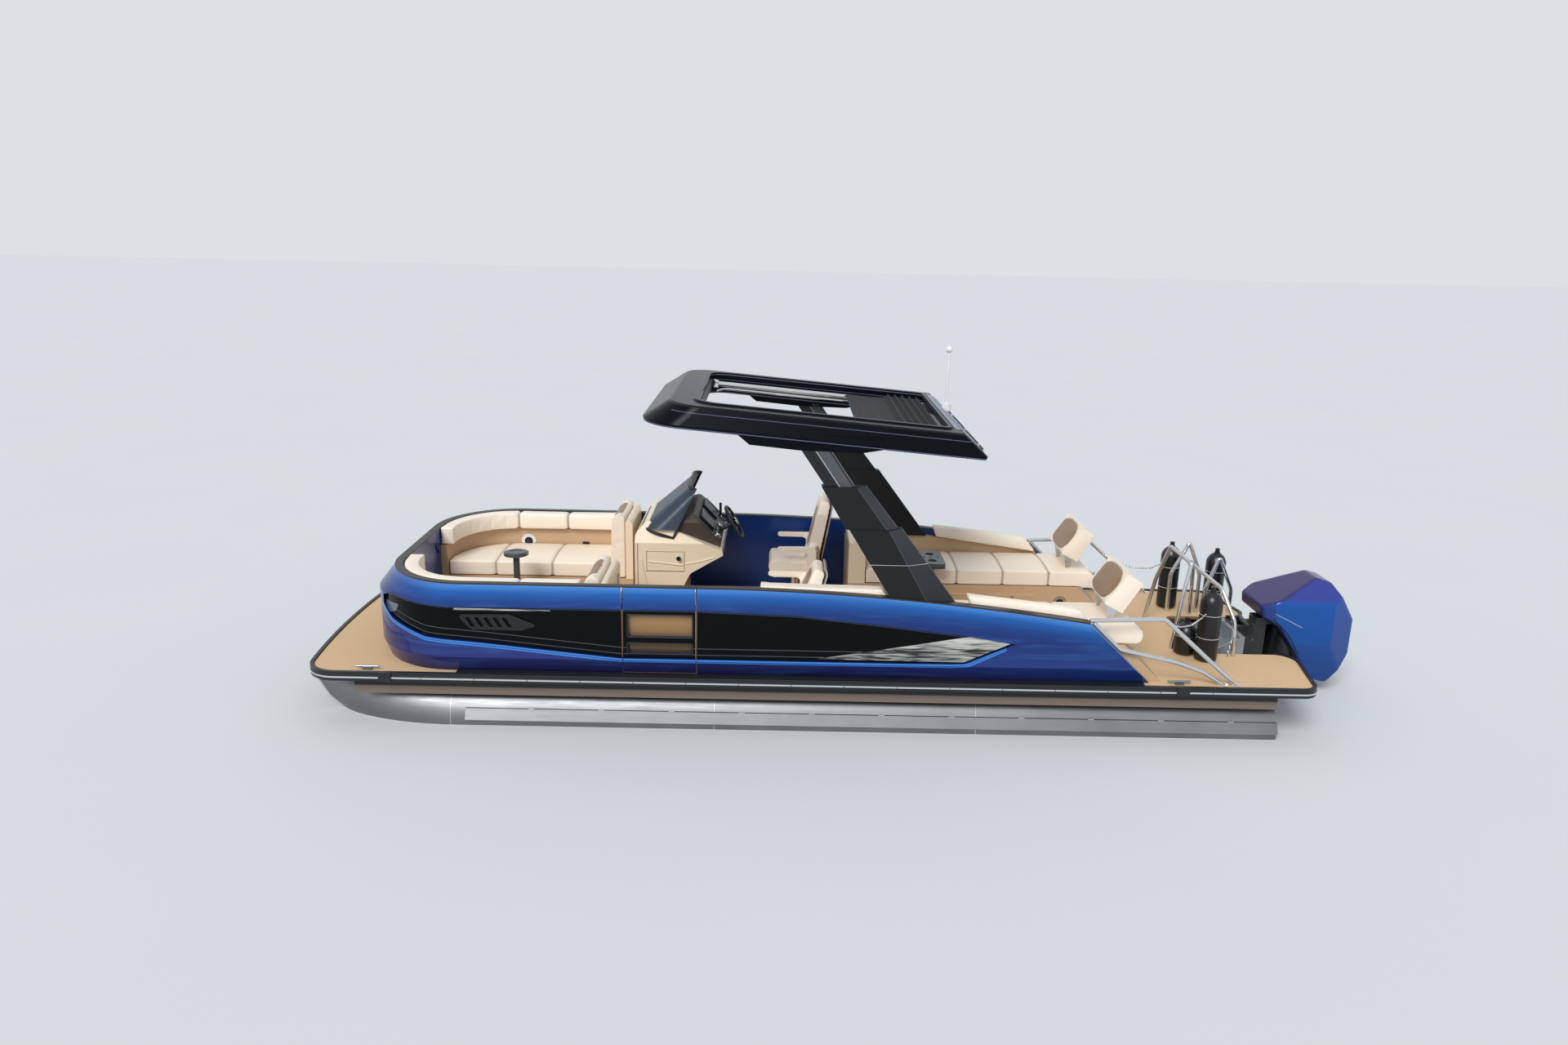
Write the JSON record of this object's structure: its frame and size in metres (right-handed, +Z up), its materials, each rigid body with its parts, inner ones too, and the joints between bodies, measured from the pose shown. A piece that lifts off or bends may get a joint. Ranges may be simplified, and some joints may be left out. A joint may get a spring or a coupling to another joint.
{
  "type": "pontoon boat",
  "caption": "Three-tube pontoon boat with a railed deck, lounges, helm console, sliding hardtop, side and bow gates, and a tilting, steering outboard motor.",
  "frame": {"origin": "on the centre plane, amidships, at the waterline", "axes": "+X towards the bow, +Y to port, +Z up"},
  "size_m": [9.37, 2.65, 3.9255],
  "materials": {
    "blue_paint": "metallic colour-shift gloss",
    "black_gloss": "gloss black",
    "charcoal_paint": "satin charcoal",
    "tube_aluminium": "mill finish, brushed",
    "frame_aluminium": "mill finish",
    "bright_trim": "polished",
    "trim_grey": "satin grey",
    "lamp_glass": "clear lens",
    "stainless": "polished stainless",
    "black_plastic": "moulded black",
    "woven_vinyl": "tan woven deck covering",
    "deck_wood": "sealed plywood",
    "cream_vinyl": "cream marine vinyl",
    "tan_shell": "tan moulded seat base",
    "beige_shell": "beige moulded console",
    "brown_trim": "dark brown moulded",
    "tinted_glass": "tinted acrylic",
    "tan_glass": "smoked acrylic",
    "black_canvas": "black canvas",
    "white_plastic": "white",
    "fender_vinyl": "black fender vinyl",
    "motor_black": "satin black",
    "propeller_steel": "polished stainless"
  },
  "bodies": {
    "boat": {"port_pontoon": "tube_aluminium", "starboard_pontoon": "tube_aluminium", "centre_pontoon": "tube_aluminium", "motor_pod": "frame_aluminium", "tube_risers": "frame_aluminium", "cross_members": "frame_aluminium", "side_fascia": "black_plastic", "deck_board": "deck_wood", "deck_covering": "woven_vinyl", "rub_rail": "black_plastic", "fence_port_aft": "blue_paint", "fence_port_forward": "blue_paint", "fence_port_bow": "blue_paint", "fence_starboard": "blue_paint", "fence_starboard_bow": "blue_paint", "side_bands": "black_gloss", "side_inserts": "bright_trim", "side_vents": "trim_grey", "bow_lamps": "lamp_glass", "lounge_ends": "beige_shell", "bow_lounge_bases": "tan_shell", "bow_seat_cushions": "cream_vinyl", "bow_bolsters": "cream_vinyl", "bow_backrests": "cream_vinyl", "aft_lounge_bases": "tan_shell", "aft_seat_cushions": "cream_vinyl", "aft_bolsters": "cream_vinyl", "helm_console": "beige_shell", "dash_hood": "brown_trim", "windshield": "tinted_glass", "throttle_lever": "black_plastic", "seat_pedestals": "stainless", "tables": "tan_shell", "arch_sleeves": "charcoal_paint", "stern_rails": "stainless", "fender_racks": "stainless", "fenders": "fender_vinyl", "deck_cleats": "stainless", "engine_bracket": "motor_black"},
    "port_gate": {"port_gate_panel": "blue_paint", "port_gate_band": "black_gloss", "port_gate_panes": "tan_glass"},
    "bow_gate": {"bow_gate": "blue_paint"},
    "glovebox": {"glovebox_lid": "beige_shell"},
    "wheel": {"steering_wheel": "black_plastic"},
    "helm_seat": {"helm_chair": "cream_vinyl"},
    "companion_seat": {"companion_chair": "cream_vinyl"},
    "hardtop": {"arch_legs": "charcoal_paint", "hardtop_shell": "black_gloss", "roof_rails": "stainless", "sunshade": "black_canvas", "nav_pole": "white_plastic"},
    "chaise_port": {"chaise_back_port": "cream_vinyl"},
    "chaise_starboard": {"chaise_back_starboard": "cream_vinyl"},
    "motor_tilt": {"engine_swivel": "motor_black"},
    "motor_steer": {"engine_leg": "motor_black", "engine_cowl": "blue_paint"},
    "prop": {"propeller": "propeller_steel"},
    "ram_cylinders": {"tilt_cylinders": "motor_black"},
    "ram_rods": {"tilt_rods": "stainless"}
  },
  "joints": [
    {"name": "bow_gate_hinge", "type": "hinge", "parent": "boat", "child": "bow_gate", "pos_m": [3.61, -0.33, 0.9], "axis": [0, 0, 1], "range_deg": [0, 90]},
    {"name": "port_gate_hinge", "type": "hinge", "parent": "boat", "child": "port_gate", "pos_m": [1.628, 1.175, 0.9], "axis": [0, 0, 1], "range_deg": [0, 90]},
    {"name": "glovebox_hinge", "type": "hinge", "parent": "boat", "child": "glovebox", "pos_m": [1.41, -0.12, 0.995], "axis": [-1, 0, 0], "range_deg": [0, 95]},
    {"name": "steering_wheel_turn", "type": "hinge", "parent": "boat", "child": "wheel", "pos_m": [0.785, -0.6, 1.35], "axis": [0.866, 0, -0.5], "range_deg": [-450, 450]},
    {"name": "helm_chair_swivel", "type": "hinge", "parent": "boat", "child": "helm_seat", "pos_m": [0.18, -0.6, 0.85], "axis": [0, 0, 1], "continuous": true},
    {"name": "companion_chair_swivel", "type": "hinge", "parent": "boat", "child": "companion_seat", "pos_m": [0.26, 0.58, 0.85], "axis": [0, 0, 1], "continuous": true},
    {"name": "hardtop_lift", "type": "slide", "parent": "boat", "child": "hardtop", "axis": [0.5664, 0, 0.8241], "range_m": [-0.3, 0]},
    {"name": "chaise_recline_port", "type": "hinge", "parent": "boat", "child": "chaise_port", "pos_m": [-2.5, 0.75, 1], "axis": [0, 1, 0], "range_deg": [-45, 35]},
    {"name": "chaise_recline_starboard", "type": "hinge", "parent": "boat", "child": "chaise_starboard", "pos_m": [-2.5, -0.75, 1], "axis": [0, 1, 0], "range_deg": [-45, 35]},
    {"name": "motor_tilt_hinge", "type": "hinge", "parent": "boat", "child": "motor_tilt", "pos_m": [-4.085, 0, 0.61], "axis": [0, 1, 0], "range_deg": [0, 65]},
    {"name": "motor_steering", "type": "hinge", "parent": "motor_tilt", "child": "motor_steer", "pos_m": [-4.19, 0, 0.4], "axis": [0, 0, 1], "range_deg": [-30, 30]},
    {"name": "propeller_spin", "type": "hinge", "parent": "motor_steer", "child": "prop", "pos_m": [-4.89, 0, -0.52], "axis": [1, 0, 0], "continuous": true},
    {"name": "ram_swing", "type": "hinge", "parent": "boat", "child": "ram_cylinders", "pos_m": [-3.99, 0, 0.235], "axis": [0, 1, 0], "range_deg": [-15, 5]},
    {"name": "ram_stroke", "type": "slide", "parent": "ram_cylinders", "child": "ram_rods", "axis": [-0.3981, 0, 0.9173], "range_m": [0, 0.16]}
  ],
  "couplings": [
    {"joint": "steering_wheel_turn", "follows": "motor_steering", "ratio": 15},
    {"joint": "ram_swing", "follows": "motor_tilt_hinge", "ratio": -0.1347},
    {"joint": "ram_stroke", "follows": "motor_tilt_hinge", "m_per_rad": 0.09298}
  ]
}
